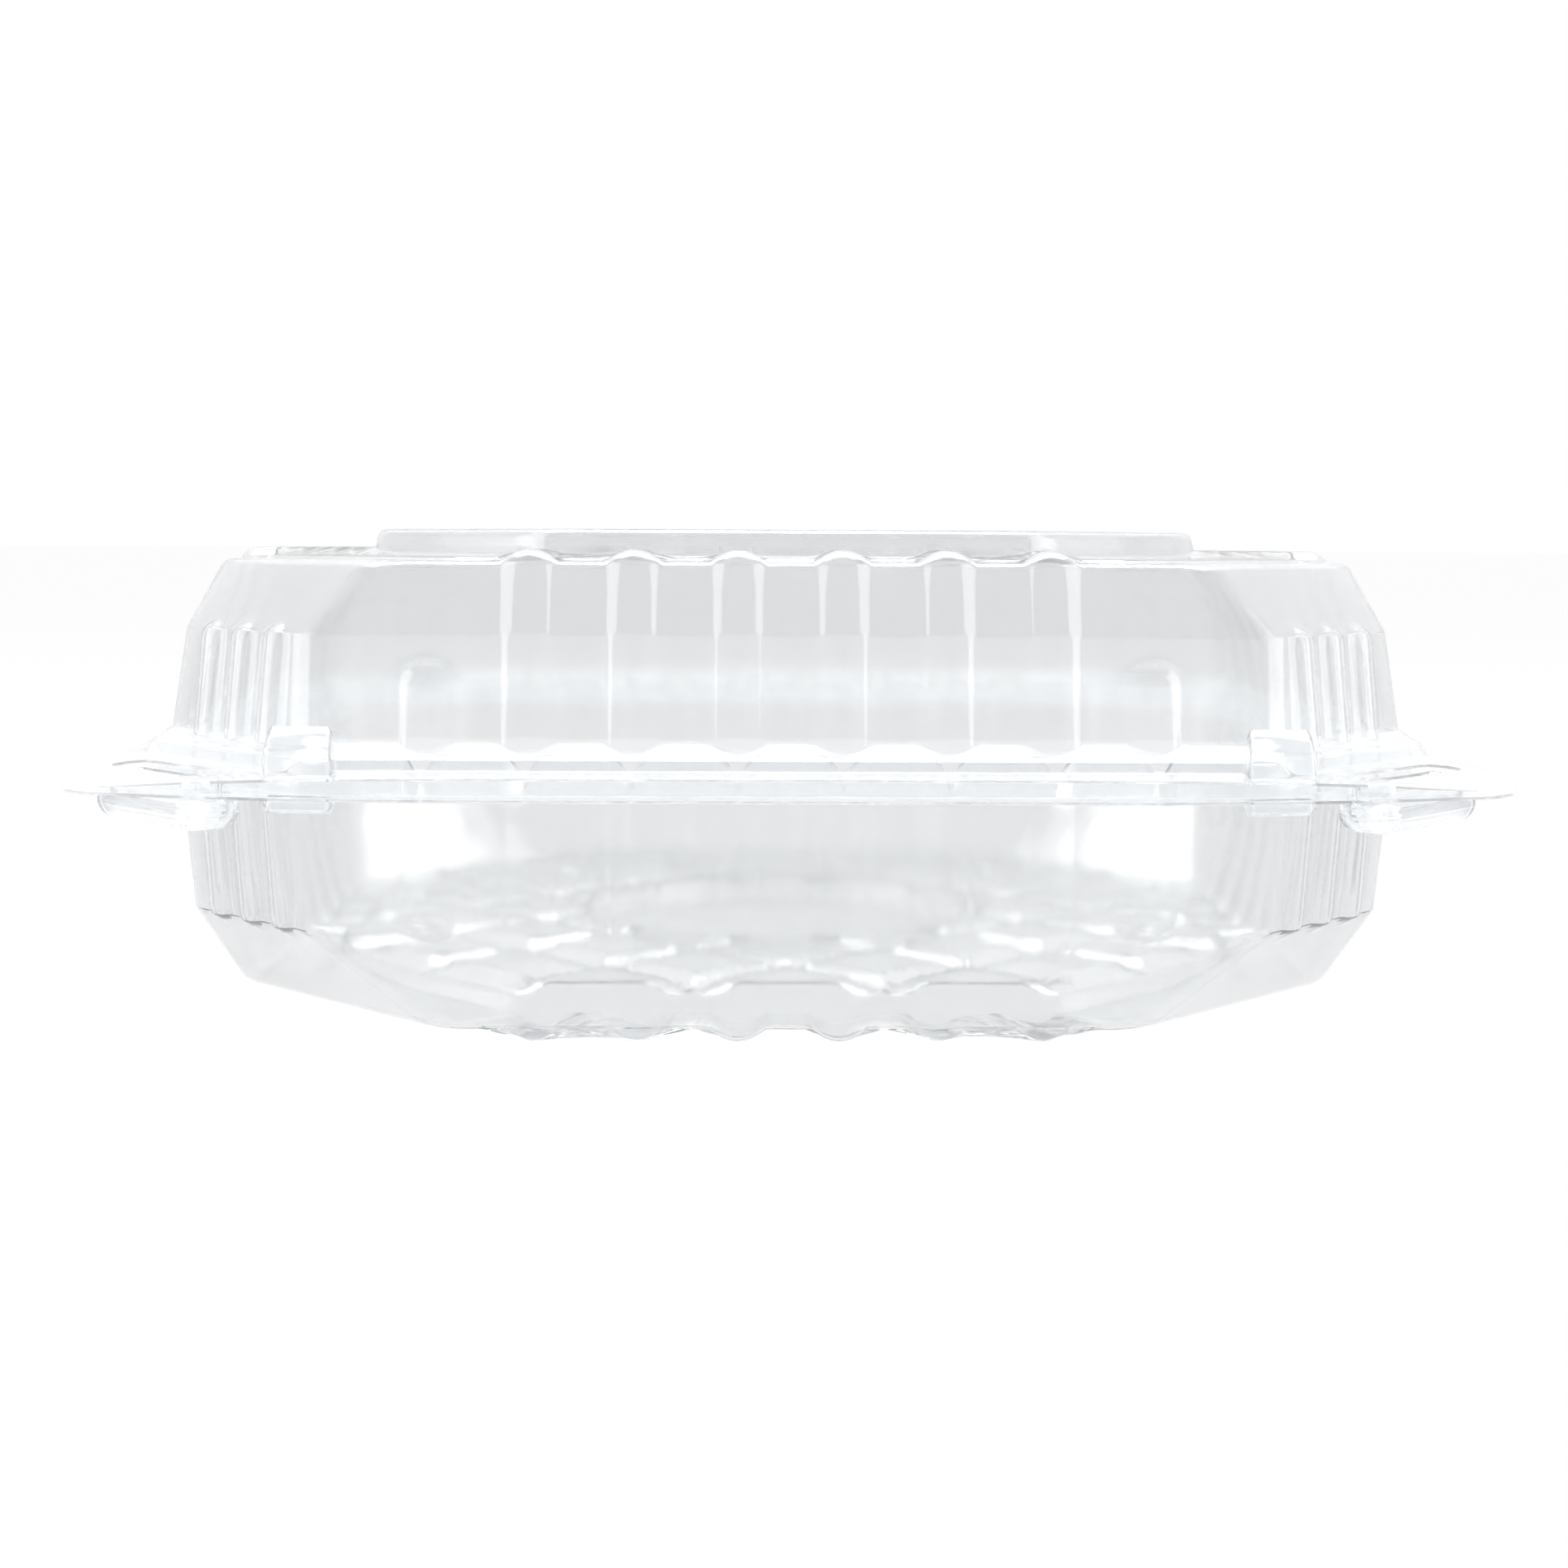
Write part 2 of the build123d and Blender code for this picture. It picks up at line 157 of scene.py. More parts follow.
def outline(half, corner, radius=CORNER_ROUND):
    """Points and outward directions round an octagon with rounded corners, one for each column."""
    run = radius * CORNER_SHARE
    side = stretched(SIDE, LONG_RIBS_END, SIDE_END, corner - run)
    chamfer_end = max((half - corner) / math.sqrt(2) - run, 0.4)
    chamfer = stretched(CHAMFER, FLUTES_END, CHAMFER_END, chamfer_end)
    slant = np.array([1, 1]) / math.sqrt(2)
    out = np.array([1, -1]) / math.sqrt(2)
    points = [np.stack([side, np.full_like(side, -half)], 1)]
    facing = [np.tile([0.0, -1.0], (len(side), 1))]
    for first in (True, False):
        tip = np.array([corner, -half]) if first else np.array([half, -corner])
        start = -math.pi / 2 if first else -math.pi / 4
        towards = start + math.pi / 8
        middle = tip - radius / math.cos(math.pi / 8) * np.array([math.cos(towards), math.sin(towards)])
        angles = start + ROUND * math.pi / 4
        ray = np.stack([np.cos(angles), np.sin(angles)], 1)
        points.append(middle + radius * ray)
        facing.append(ray)
        if first:
            centre = np.array([half + corner, -half - corner]) / 2
            points.append(centre + chamfer[:, None] * slant)
            facing.append(np.tile(out, (len(chamfer), 1)))
    points, facing = np.concatenate(points), np.concatenate(facing)
    rings, faces = [], []
    for k in range(4):
        c, s = round(math.cos(k * math.pi / 2)), round(math.sin(k * math.pi / 2))
        turn = np.array([[c, -s], [s, c]])
        rings.append(points @ turn.T)
        faces.append(facing @ turn.T)
    return np.concatenate(rings), np.concatenate(faces)


# ================================================================ sections across the sheet
def section(corners, bend_steps=4):
    """Stations along a run of straight stretches with rounded bends.

    Each corner is (half width, height, plan corner, bend radius, steps to the next corner). A station is
    (half width, height, plan corner) with the direction across the sheet, out and up.
    """
    data = np.array([c[:3] for c in corners], float)
    stations = [data[0]]
    for i in range(1, len(corners)):
        radius, steps = corners[i][3], corners[i - 1][4]
        before = data[i] - data[i - 1]
        back = np.linalg.norm(before[:2])
        cut = 0.0
        if radius and i + 1 < len(corners):
            after = data[i + 1] - data[i]
            ahead = np.linalg.norm(after[:2])
            turn = math.acos(np.clip(before[:2] @ after[:2] / back / ahead, -1, 1))
            cut = min(radius * math.tan(turn / 2), 0.45 * back, 0.45 * ahead)
        start = stations[-1]
        end = data[i] - before * (cut / back)
        stations += [start + (end - start) * (k + 1) / steps for k in range(steps)]
        if cut:
            finish = data[i] + after * (cut / ahead)
            for t in np.arange(1, bend_steps + 1) / bend_steps:
                stations.append((1 - t) ** 2 * end + 2 * t * (1 - t) * data[i] + t * t * finish)
    stations = np.array(stations)
    along = np.gradient(stations[:, :2], axis=0)
    along /= np.linalg.norm(along, axis=1)[:, None] + 1e-9
    return stations, np.stack([-along[:, 1], along[:, 0]], 1)


def between(first, last, share, steps):
    """A corner without a bend, part of the way from one corner to another."""
    return (*(a + (b - a) * share for a, b in zip(first[:3], last[:3])), 0, steps)


def crown(reach, proud):
    """Height of a rounded rib at `reach`, where 0 is its middle and 1 its edge."""
    return proud * np.clip(1 - reach**2, 0, 1) ** 1.1


def band_reach(places, middles, width, past_end=0.0):
    """How far each place is from the nearest rib's middle, with a round end `past_end` beyond it."""
    nearest = np.min(np.abs(places[:, None] - np.array(middles)), 1)
    return np.hypot(nearest, max(past_end, 0.0)) / (width / 2)


def long_ribs(points, start):
    """How far the long ribs stand proud at plan points, on all four sides, out from `start`."""
    rise = np.zeros(len(points))
    for along, across in (points.T, points.T[::-1]):
        inside = np.clip(np.abs(across) - start, 0, 1)
        rise = np.maximum(rise, inside * crown(band_reach(along, LONG_RIBS, RIB_WIDTH), RIB_PROUD))
    return rise


def ended_ribs(height, short_end, flute_end, sense):
    """How far short ribs and flutes stand proud at a height. `sense` is 1 where they end above."""
    short_past = (height - short_end) * sense + RIB_WIDTH / 2
    flute_past = (height - flute_end) * sense + FLUTE_WIDTH / 2
    short = crown(band_reach(SIDE_AT, SHORT_RIBS, RIB_WIDTH, short_past), RIB_PROUD)
    flutes = crown(band_reach(CHAMFER_AT, FLUTES, FLUTE_WIDTH, flute_past), FLUTE_PROUD)
    return short + flutes


# ================================================================ meshes
def select_only(piece):
    """Make one object the only selected and active one."""
    bpy.ops.object.select_all(action="DESELECT")
    piece.select_set(True)
    bpy.context.view_layer.objects.active = piece


def edit(piece, *steps):
    """Run edit-mode steps on the whole of a piece."""
    select_only(piece)
    bpy.ops.object.mode_set(mode="EDIT")
    bpy.ops.mesh.select_all(action="SELECT")
    for step in steps:
        step()
    bpy.ops.object.mode_set(mode="OBJECT")


def modify(piece, kind, **settings):
    """Add a modifier with its settings and apply it."""
    select_only(piece)
    modifier = piece.modifiers.new(kind.title(), kind)
    for name, value in settings.items():
        setattr(modifier, name, value)
    bpy.ops.object.modifier_apply(modifier=modifier.name)


def formed_sheet(name, rows, outward):
    """Sheet through rows of points round the box, as a grid closed into a ring, with its thickness.

    `outward` is the direction that the first row's face looks: 1 up, -1 down.
    """
    rows = np.array(rows) * MM
    bpy.ops.object.select_all(action="DESELECT")
    bpy.ops.mesh.primitive_grid_add(x_subdivisions=AROUND, y_subdivisions=len(rows) - 1, size=1)
    piece = bpy.context.object
    piece.name = name
    closed = np.concatenate([rows, rows[:, :1]], 1)
    piece.data.vertices.foreach_set("co", closed.reshape(-1).astype(np.float32))
    edit(
        piece,
        lambda: bpy.ops.mesh.remove_doubles(threshold=1e-6),
        lambda: bpy.ops.mesh.normals_make_consistent(inside=False),
    )
    if piece.data.polygons[0].normal.z * outward < 0:
        edit(piece, bpy.ops.mesh.flip_normals)
    modify(piece, "SOLIDIFY", thickness=SHEET * MM, offset=-1, use_even_offset=False)
    return piece


def ledge_rows(stations, level):
    """Rows of points at the stations, where the long ribs rise from `level` and their tops stay level."""
    rows = []
    for half, height, corner in stations:
        points, _ = outline(half, corner)
        rows.append(np.column_stack([points, np.maximum(height, level + long_ribs(points, 0))]))
    return rows


def ribbed_rows(stations, across, start, short_end, flute_end, sense):
    """Rows of points at the stations, pushed out by the ribs along the direction across the sheet."""
    rows = []
    for (half, height, corner), (out, up) in zip(stations, across):
        points, facing = outline(half, corner)
        rise = long_ribs(points, start) + ended_ribs(height, short_end, flute_end, sense)
        rows.append(np.column_stack([points + facing * (rise * out)[:, None], height + rise * up]))
    return rows


def step_rows(stations, root):
    """Rows down the outside of a rim's step, where the ribs' feet stand on its slope.

    `root` is how far each column's foot reaches past the first station.
    """
    halves = stations[:, 0]
    plans = [outline(half, corner)[0] for half, _, corner in stations]
    course = np.concatenate([np.array(plans), np.repeat(stations[:, 1], AROUND).reshape(-1, AROUND, 1)], 2)
    rows = []
    for half in halves:
        out = np.maximum(half, halves[0] + root)
        place = np.interp(out, halves, np.arange(len(halves)))
        before = np.minimum(place.astype(int), len(halves) - 2)
        part = (place - before)[:, None]
        column = np.arange(AROUND)
        rows.append(course[before, column] * (1 - part) + course[before + 1, column] * part)
    return rows


def platform_rows(halves):
    """Rows of points on top of the lid, from its middle out through the given half widths."""
    rows = [np.tile([0.0, 0.0, TOTAL], (AROUND, 1))]
    for half in halves:
        points, _ = outline(half, 0.55 * half)
        rows.append(np.column_stack([points, np.full(AROUND, TOTAL)]))
    return rows


def flange_rows(foot, edge, stations, lift):
    """Rows from the foot of the rim's step out to its square edge, whose rounded tips rise by `lift`.

    `foot` and `edge` are (half width, height, plan corner). A `lift` below 0 bends the tips down.
    """
    rows = []
    for k in range(1, stations + 1):
        t = k / stations
        half, height, corner = (a + (b - a) * t for a, b in zip(foot, edge))
        points, _ = outline(half, corner)
        tip = np.clip((np.hypot(*points.T) - TIP_START) / TIP_RUN, 0, 1) ** 2
        rows.append(np.column_stack([points, height + lift * tip]))
    return rows


# ================================================================ lid
def lid_rows():
    """Rows of the lid's upper face, from the middle of the platform out to the rim's edge."""
    top_half, top_corner = MOUTH_HALF - 6.5, MOUTH_HALF - 35.5
    platform = [
        (66.0, TOTAL, 36.4, 0, 1),
        (68.8, TOTAL, 37.7, 1.6, 2),
        (PLATFORM_OUT, LEDGE + 0.5, 38.0, 0.8, 5),
        (LEDGE_OUT - 0.8, LEDGE + 0.5, 50.6, 0.4, 1),
        (LEDGE_OUT, LEDGE, 51.0, 0.4, 1),
        (LEDGE_OUT + 1.0, LEDGE, 52.5, 0, 1),
    ]
    top = (top_half, LEDGE, top_corner, 4.2, 2)
    facet_foot = (93.5, LEDGE - 10.6, MOUTH_CORNER, 1.5, 10)
    mouth = (MOUTH_HALF, SHOULDER_TOP + 0.4, MOUTH_CORNER, 0, 1)
    wall = [
        (LEDGE_OUT + 2.0, LEDGE, 54.0, 0, 1),
        top,
        between(top, facet_foot, 0.75, 5),
        facet_foot,
        between(facet_foot, mouth, 0.5, 3),
        mouth,
    ]
    step = [
        (MOUTH_HALF + 0.05, SHOULDER_TOP, MOUTH_CORNER, 0, 6),
        (MOUTH_HALF + 3.4, SHOULDER_TOP - 2.3, MOUTH_CORNER + 1.4, 0.8, 1),
        (MOUTH_HALF + 4.2, LID_RIM + 0.2, MOUTH_CORNER + 1.8, 0.6, 1),
        (MOUTH_HALF + 5.2, LID_RIM + 0.1, MOUTH_CORNER + 3.5, 0, 1),
    ]
    ends = (LEDGE - 13.9, LEDGE - 8.9, 1)

    rows = platform_rows((24.0, 48.0))
    rows += ledge_rows(section(platform)[0], LEDGE)
    rows += ribbed_rows(*section(wall), 0, *ends)
    feet = long_ribs(outline(MOUTH_HALF, MOUTH_CORNER)[0], 0) + ended_ribs(SHOULDER_TOP, *ends)
    rows += step_rows(section(step, 3)[0], feet)
    edge = (RIM_HALF, LID_RIM_LOW[2] + 0.1, EDGE_CORNER)
    return rows + flange_rows(step[-1][:3], edge, 6, -1.0)


# ================================================================ tray
def floor_height(x, y):
    """Height of the raised floor's top: its panel, less the round grooves that cross on it."""
    depth = 0.0
    for along in ((x + y) / math.sqrt(2), (x - y) / math.sqrt(2)):
        reach = np.abs((along + GROOVE_STEP / 2) % GROOVE_STEP - GROOVE_STEP / 2)
        depth = np.maximum(depth, crown(reach / (GROOVE_WIDTH / 2), GROOVE_DEPTH))
    return PANEL_TOP - depth


def floor_rows():
    """Rows of the floor's lower face, from the middle of the box out to the panel's edge."""
    edge, _ = outline(PANEL_HALF - 1.2, PANEL_CORNER - 0.5, 2.0)
    angle = np.arctan2(edge[:, 1], edge[:, 0])
    ray = np.stack([np.cos(angle), np.sin(angle)], 1)
    rows = [np.tile([0.0, 0.0, MIDDLE_TOP], (AROUND, 1))]
    disc = ((12.0, 0), (24.0, 0), (34.6, 0), (35.2, 0.03), (35.7, 0.2), (36.4, 0.75), (36.9, 0.96))
    for radius, share in disc:
        level = MIDDLE_TOP + (PANEL_TOP - MIDDLE_TOP) * share
        rows.append(np.column_stack([ray * radius, np.full(AROUND, level)]))
    for t in np.linspace(0, 1, 23):
        points = ray * (MIDDLE_RADIUS + 0.5) * (1 - t) + edge * t
        rows.append(np.column_stack([points, floor_height(*points.T)]))
    for row in rows:
        row[:, 2] -= SHEET
    return rows


def tray_rows():
    """Rows of the tray's lower face, from the middle of its floor out to the rim's edge."""
    bead_out = MOUTH_HALF + 1.5
    bead_top = BEAD_TOP - SHEET - 1.2
    under = TRAY_TOP - SHEET
    foot = (89.3, BORDER, 52.0, 2.4, 4)
    facet_top = (93.1, BORDER + 15.3, MOUTH_CORNER, 0, 4)
    flare = (94.7, TRAY_TOP - 3.6, MOUTH_CORNER, 8.0, 2)
    mouth = (MOUTH_HALF - 0.1, TRAY_TOP - 0.6, MOUTH_CORNER, 0, 1)
    corners = [
        (PANEL_HALF, BORDER, PANEL_CORNER, 0, 2),
        foot,
        between(foot, facet_top, 0.85, 3),
        facet_top,
        between(facet_top, flare, 0.25, 3),
        flare,
        mouth,
    ]
    bead = [
        (MOUTH_HALF, TRAY_TOP, MOUTH_CORNER, 0, 1),
        (MOUTH_HALF + 0.3, bead_top, MOUTH_CORNER, 0.8, 2),
        (bead_out, bead_top, MOUTH_CORNER + 0.9, 0.8, 1),
        (bead_out + 0.4, under + 0.1, MOUTH_CORNER + 1.1, 0.6, 1),
        (bead_out + 1.4, under, MOUTH_CORNER + 2.5, 0, 1),
    ]
    stations, across = section(corners)
    ends = (BORDER + 14.65, BORDER + 13.75, -1)

    rows = floor_rows()
    border = ribbed_rows(stations, -across, PANEL_HALF - 1.5, *ends)
    top, bottom = rows[-1], border[0]
    for t, drop in ((0.25, 0.06), (0.5, 0.25), (0.75, 0.7)):
        row = top + (bottom - top) * t
        row[:, 2] = top[:, 2] + (bottom[:, 2] - top[:, 2]) * drop
        rows.append(row)
    rows += border
    feet = long_ribs(outline(MOUTH_HALF, MOUTH_CORNER)[0], 0) + ended_ribs(TRAY_TOP, *ends)
    rows += step_rows(section(bead, 3)[0], feet)
    edge = (RIM_HALF, under + 0.05, EDGE_CORNER)
    return rows + flange_rows(bead[-1][:3], edge, 5, 1.0)


# ================================================================ locks and lugs
def merge(pieces):
    """Join pieces into the first one."""
    bpy.ops.object.select_all(action="DESELECT")
    for piece in pieces:
        piece.select_set(True)
    bpy.context.view_layer.objects.active = pieces[0]
    bpy.ops.object.join()
    return pieces[0]


def settle(piece):
    """Move a piece's place, turn and size into its mesh."""
    select_only(piece)
    bpy.ops.object.transform_apply(location=True, rotation=True, scale=True)


def tapered_block(centre, size, turn, low, high, wide_at_top, lean):
    """Block from `low` to `high`, each side leaning in by `lean` at its narrow end, in millimetres."""
    bpy.ops.object.select_all(action="DESELECT")
    place = (centre[0] * MM, centre[1] * MM, (low + high) / 2 * MM)
    bpy.ops.mesh.primitive_cube_add(size=1, location=place, rotation=(0, 0, turn))
    block = bpy.context.object
    block.scale = (size[0] * MM, size[1] * MM, (high - low) * MM)
    narrow = -0.5 if wide_at_top else 0.5
    for vertex in block.data.vertices:
        if vertex.co.z == narrow:
            vertex.co.x *= 1 - 2 * lean / size[0]
            vertex.co.y *= 1 - 2 * lean / size[1]
    return block


def round_edges(block, chosen, radius, segments):
    """Bevel the edges of a block whose two end heights, in millimetres, pass `chosen`."""
    settle(block)
    for edge in block.data.edges:
        edge.select = chosen(*(block.data.vertices[i].co.z / MM for i in edge.vertices))
    bpy.ops.object.mode_set(mode="EDIT")
    bpy.ops.mesh.select_mode(type="EDGE")
    bpy.ops.mesh.bevel(offset=radius * MM, segments=segments, affect="EDGES", clamp_overlap=True)
    bpy.ops.object.mode_set(mode="OBJECT")


def mirrored(piece):
    """A copy of a piece on the other side of the box, with its own mesh."""
    copy = piece.copy()
    copy.data = piece.data.copy()
    bpy.context.collection.objects.link(copy)
    copy.data.transform(Matrix.Scale(-1, 4, (1, 0, 0)))
    copy.data.flip_normals()
    return copy


def fittings(snap_top, snap_low, snap_room, lug_low, lug_high, lug_up, slope, inset):
    """Both corner locks and both front lugs of one rim as solids, drawn in by `inset`.

    `snap_room` is how much smaller a lock is all round, so that a plug stands free in its socket.
    `slope` is how far the free end of a lug falls away at its front.
    """
    middle = (SNAP_LOW + SNAP_HIGH)[:2] / 2
    size = np.array([28.0, 10.0]) - 2 * (inset + snap_room)
    lock = tapered_block(middle, size, -math.pi / 4, snap_low, snap_top, True, 0.7)
    round_edges(lock, lambda a, b: abs(a - b) > 0.1, 4.5 - inset - snap_room, 6)
    round_edges(lock, lambda a, b: max(a, b) < snap_low + 0.1, 1.3 - inset, 3)

    middle = (LUG_LOW + LUG_HIGH)[:2] / 2
    size = (LUG_HIGH - LUG_LOW)[:2] - 2 * inset
    lug = tapered_block(middle, size, 0.0, lug_low, lug_high, not lug_up, 0.5)
    free, base = (0.5, lug_low) if lug_up else (-0.5, lug_high)
    for vertex in lug.data.vertices:
        if vertex.co.z == free and vertex.co.y < 0:
            vertex.co.z *= 1 - 2 * slope / (lug_high - lug_low)
    round_edges(lug, lambda a, b: max(abs(a - base), abs(b - base)) > 0.1, 0.8 - inset, 3)
    return merge([lock, mirrored(lock), lug, mirrored(lug)])


def press(sheet, outer, inner):
    """Form hollow fittings in a sheet: add their outsides, then take out their insides."""
    for tool, operation in ((outer, "UNION"), (inner, "DIFFERENCE")):
        modify(sheet, "BOOLEAN", object=tool, operation=operation, solver="EXACT")
        bpy.data.objects.remove(tool)


# ================================================================ shader maths
class Value:
    """A shader socket with the arithmetic that the materials use."""

    def __init__(self, tree, socket):
        self.tree, self.socket = tree, socket

    def math(self, operation, *others):
        """Result of a Math node on this value and others."""
        made = self.tree.nodes.new("ShaderNodeMath")
        made.operation = operation
        for slot, value in zip(made.inputs, (self, *others)):
            put(self.tree, slot, value)
        return Value(self.tree, made.outputs[0])

    def __add__(self, other):
        return self.math("ADD", other)

    def __mul__(self, other):
        return self.math("MULTIPLY", other)

    def __sub__(self, other):
        return self.math("SUBTRACT", other)

    def __rsub__(self, other):
        return (self * -1.0) + other

    def __pow__(self, other):
        return self.math("POWER", other)

    __radd__ = __add__
    __rmul__ = __mul__


def put(tree, slot, value):
    """Set a socket to a number or link it to a value."""
    if isinstance(value, Value):
        tree.links.new(value.socket, slot)
    else:
        slot.default_value = value


def node(tree, kind, settings=(), **inputs):
    """Add a node, set its settings, then its sockets. Returns a function that gives its outputs."""
    made = tree.nodes.new("ShaderNode" + kind)
    for name, value in dict(settings).items():
        setattr(made, name, value)
    for name, value in inputs.items():
        put(tree, made.inputs[name.replace("_", " ")], value)
    return lambda output=0: Value(tree, made.outputs[output])


def new_tree(name):
    """An empty material and its node tree."""
    material = bpy.data.materials.new(name)
    material.use_nodes = True
    material.node_tree.nodes.clear()
    return material, material.node_tree


def clear_sheet(name, tint, haze, waviness):
    """Clear glossy plastic sheet with a little haze, faint waves from forming and uneven gloss."""
    material, tree = new_tree(name)
    place = node(tree, "TexCoord")("Object")
    waves = node(tree, "TexNoise", Vector=place, Scale=38.0, Detail=2.0)("Fac")
    fine = node(tree, "TexNoise", Vector=place, Scale=420.0, Detail=1.0)("Fac")
    gloss = 0.07 + 0.06 * (waves ** 2.0) + 0.02 * fine
    bump = node(tree, "Bump", Strength=waviness, Distance=0.0006, Height=waves + 0.12 * fine)("Normal")
    plastic = node(
        tree, "BsdfPrincipled", Base_Color=tint, Roughness=gloss, IOR=1.57, Transmission_Weight=1.0 - haze,
        Normal=bump,
    )(0)
    clear = node(tree, "BsdfTransparent", Color=(0.97, 0.975, 0.98, 1.0))(0)
    shadow = node(tree, "LightPath")("Is Shadow Ray")
    mix = tree.nodes.new("ShaderNodeMixShader")
    for slot, value in zip(mix.inputs, (shadow, plastic, clear)):
        put(tree, slot, value)
    tree.links.new(mix.outputs[0], tree.nodes.new("ShaderNodeOutputMaterial").inputs["Surface"])
    return material


def pale_floor():
    """White paper that glows a little, as one lit from under does, with a faint mottle."""
    material, tree = new_tree("pale_floor")
    place = node(tree, "TexCoord")("Object")
    mottle = node(tree, "TexNoise", Vector=place, Scale=6.0)("Fac")
    paint = node(
        tree, "BsdfPrincipled", Base_Color=(0.02, 0.02, 0.02, 1.0), Roughness=0.85 + 0.05 * mottle,
        Specular_IOR_Level=0.0, Emission_Color=(1.0, 1.0, 1.0, 1.0), Emission_Strength=0.965,
    )(0)
    put(tree, tree.nodes.new("ShaderNodeOutputMaterial").inputs["Surface"], paint)
    return material


# ================================================================ making the box
SMOOTH_ANGLE = math.radians(38)


def finish_sheet(piece, body):
    """Shade a finished sheet, give it its materials and let it ride on its body.

    The rim isn't drawn thin in forming as the walls are, so it has more haze; its lighter tint is painted
    light on the bright flanges.
    """
    select_only(piece)
    bpy.ops.object.shade_smooth_by_angle(angle=SMOOTH_ANGLE)
    piece.data.materials.clear()
    piece.data.materials.append(DRAWN)
    piece.data.materials.append(RIM_HAZE_AND_LIGHT)
    for face in piece.data.polygons:
        x, y, z = (abs(value) / MM for value in face.center)
        outside = max(x, y) > MOUTH_HALF + 1.9 or x + y > MOUTH_HALF + MOUTH_CORNER + 2.5
        # Flanges and the rim band take the rim material: more haze, and a lighter tint that is painted
        # light.
        face.material_index = int(outside or TRAY_TOP - 1.0 < z < SHOULDER_TOP + 0.3)
    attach(piece, body)


DRAWN = clear_sheet("clear_pet_drawn", (0.857, 0.864, 0.87, 1.0), 0.022, 0.08)
# Rim copy of the sheet: more haze, and a lighter tint that is painted light, standing in for the light the
# flat flanges catch from above.
RIM_HAZE_AND_LIGHT = clear_sheet("clear_pet_rim_haze_and_light", (0.915, 0.922, 0.928, 1.0), 0.065, 0.08)
FOLDED = clear_sheet("clear_pet_fold", (0.97, 0.975, 0.98, 1.0), 0.2, 0.3)

lid = formed_sheet("lid_sheet", lid_rows(), 1)
press(
    lid,
    fittings(LID_RIM - 0.1, LID_SNAP_FOOT, PLUG_ROOM, LID_RIM - 0.5, LUG_HIGH[2], True, LID_LUG_SLOPE, 0.0),
    fittings(
        LID_RIM + 3.0, LID_SNAP_FOOT + SHEET, PLUG_ROOM,
        LID_RIM - 3.0, LUG_HIGH[2] - SHEET, True, LID_LUG_SLOPE, SHEET,
    ),
)
finish_sheet(lid, "lid")
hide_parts("dome", "lid_rim", "lid_snap_left", "lid_snap_right", "lid_lug_left", "lid_lug_right")

tray = formed_sheet("tray_sheet", tray_rows(), -1)
press(
    tray,
    fittings(TRAY_TOP - 0.1, SNAP_LOW[2], 0.0, TRAY_LUG_FOOT, TRAY_TOP - 0.1, False, TRAY_LUG_SLOPE, 0.0),
    fittings(
        TRAY_TOP + 2.0, SNAP_LOW[2] + SHEET, 0.0,
        TRAY_LUG_FOOT + SHEET, TRAY_TOP + 2.0, False, TRAY_LUG_SLOPE, SHEET,
    ),
)
finish_sheet(tray, "tray")
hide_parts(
    "tray", "tray_rim", "tray_snap_left", "tray_snap_right", "tray_lug_left", "tray_lug_right"
)


def hinge_strip():
    """Strip behind the rims that folds, with a score line at each edge and its middle."""
    low, high = TRAY_TOP - SHEET / 2, LID_RIM - SHEET / 2
    bpy.ops.object.select_all(action="DESELECT")
    bpy.ops.mesh.primitive_grid_add(x_subdivisions=44, y_subdivisions=16, size=1)
    strip = bpy.context.object
    strip.name = "hinge_strip"
    for vertex in strip.data.vertices:
        across, up = vertex.co.x * (LEAF_HIGH[0] - LEAF_LOW[0]), vertex.co.y + 0.5
        score = 0.18 * math.cos(4 * math.pi * up)
        vertex.co = (across * MM, (RIM_HALF - 0.5 + score) * MM, (low + (high - low) * up) * MM)
    edit(strip, lambda: bpy.ops.mesh.normals_make_consistent(inside=False))
    modify(strip, "SOLIDIFY", thickness=STRIP_SHEET * MM, offset=0)
    return strip


strip = hinge_strip()
select_only(strip)
bpy.ops.object.shade_smooth_by_angle(angle=SMOOTH_ANGLE)
strip.data.materials.append(FOLDED)
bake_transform(strip)
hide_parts("tray_hinge_leaf", "lid_hinge_leaf")


# ================================================================ studio
def studio_floor():
    """Wide pale floor under the box."""
    bpy.ops.object.select_all(action="DESELECT")
    bpy.ops.mesh.primitive_plane_add(size=60, location=(0, 0, 0))
    ground = bpy.context.object
    ground.name = "floor"
    ground.data.materials.append(pale_floor())


def softbox(name, place, target, size, power):
    """Rectangular soft light at `place` that looks at `target`."""
    light = bpy.data.lights.new(name, "AREA")
    light.shape = "RECTANGLE"
    light.size, light.size_y = size
    light.energy = power
    lamp = bpy.data.objects.new(name, light)
    bpy.context.collection.objects.link(lamp)
    aim = np.array(target) - np.array(place)
    lamp.location = place
    lamp.rotation_euler = Vector(aim).to_track_quat("-Z", "Y").to_euler()


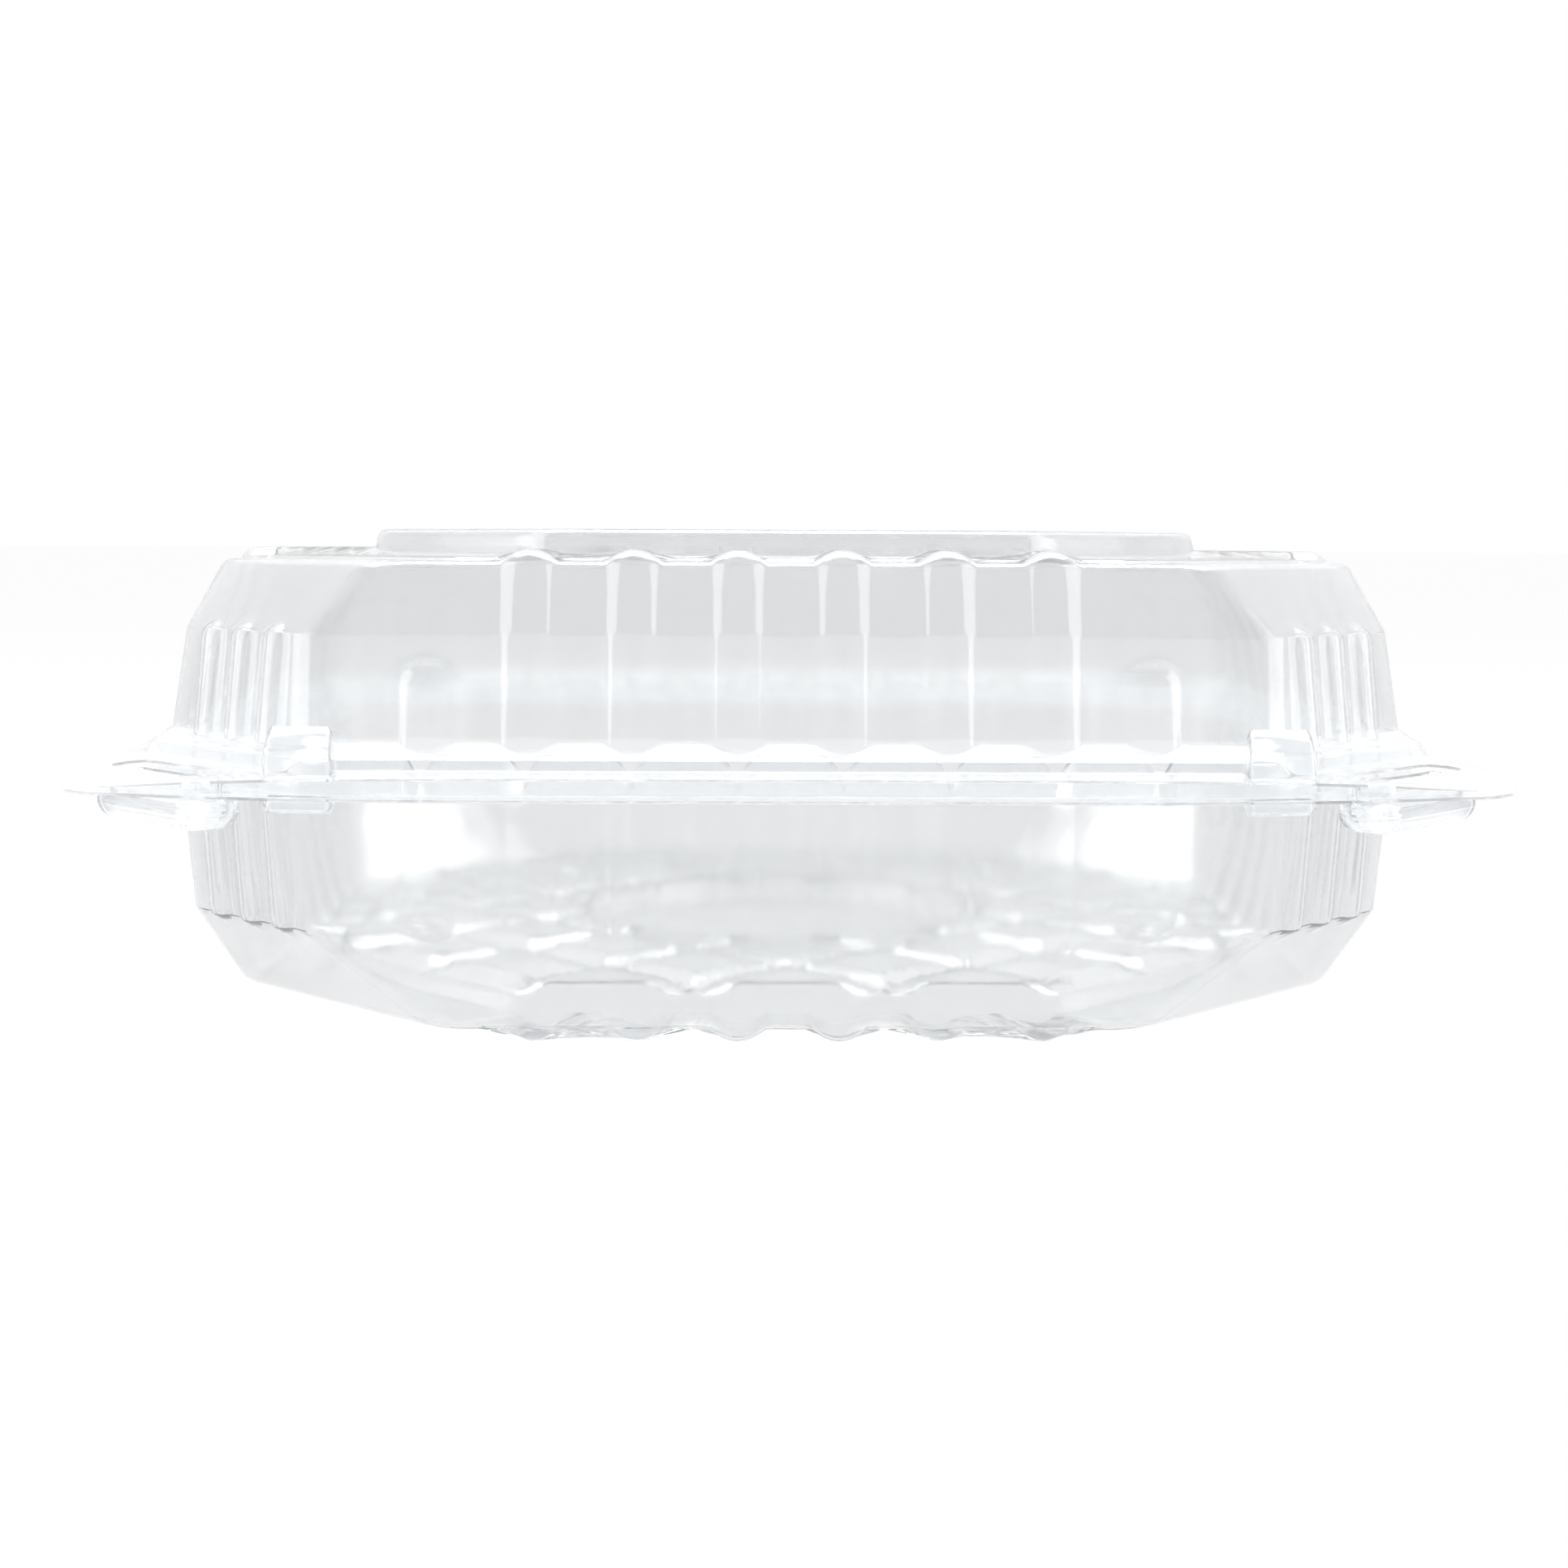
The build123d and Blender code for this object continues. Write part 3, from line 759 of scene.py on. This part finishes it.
def ramp(tree, value, start, end, low, high):
    """Smooth change from `low` to `high` as a value goes from `start` to `end`."""
    return node(
        tree, "MapRange", {"interpolation_type": "SMOOTHSTEP"}, Value=value, From_Min=start, From_Max=end,
        To_Min=low, To_Max=high,
    )(0)


def studio_world():
    """White room whose upper part is darker towards the front, so that clear walls show against it."""
    world = bpy.data.worlds.new("studio")
    bpy.context.scene.world = world
    world.use_nodes = True
    tree = world.node_tree
    tree.nodes.clear()
    place = node(tree, "TexCoord")("Generated")
    split = node(tree, "SeparateXYZ", Vector=place)
    front = ramp(tree, split("Y"), -0.5, 0.55, 0.3, 1.06)
    upper = ramp(tree, split("Z"), 0.2, 0.45, 0.0, 1.0)
    strength = (front - 1.0) * upper + 1.0
    shade = node(tree, "Background", Color=(1.0, 1.0, 1.0, 1.0), Strength=strength)(0)
    put(tree, tree.nodes.new("ShaderNodeOutputWorld").inputs["Surface"], shade)


def camera():
    """Camera close in front of the box, a little above its rim, looking slightly down."""
    pitch, yaw, roll = 0.10767, -0.014, 0.0048
    data = bpy.data.cameras.new("camera")
    data.lens = 50.97
    data.sensor_width = 36.0
    data.clip_start = 0.01
    data.clip_end = 100.0
    view = bpy.data.objects.new("camera", data)
    bpy.context.collection.objects.link(view)
    turn = Matrix.Rotation(yaw, 4, "Z") @ Matrix.Rotation(math.pi / 2 - pitch, 4, "X")
    view.matrix_world = (
        Matrix.Translation((-0.0054, -0.41427, 0.074)) @ turn @ Matrix.Rotation(roll, 4, "Z")
    )
    bpy.context.scene.camera = view


studio_floor()
studio_world()
softbox("top_box", (0, 0.42, 1.25), (0, 0, 0.05), (1.5, 0.7), 25)
softbox("left_strip", (-1.25, -0.3, 0.5), (0, 0, 0.05), (0.9, 1.3), 6)
softbox("right_strip", (1.25, -0.3, 0.5), (0, 0, 0.05), (0.9, 1.3), 6)
camera()

scene = bpy.context.scene
scene.view_settings.view_transform = "Standard"
scene.cycles.max_bounces = 40
scene.cycles.transmission_bounces = 40
scene.cycles.glossy_bounces = 8
scene.cycles.transparent_max_bounces = 40
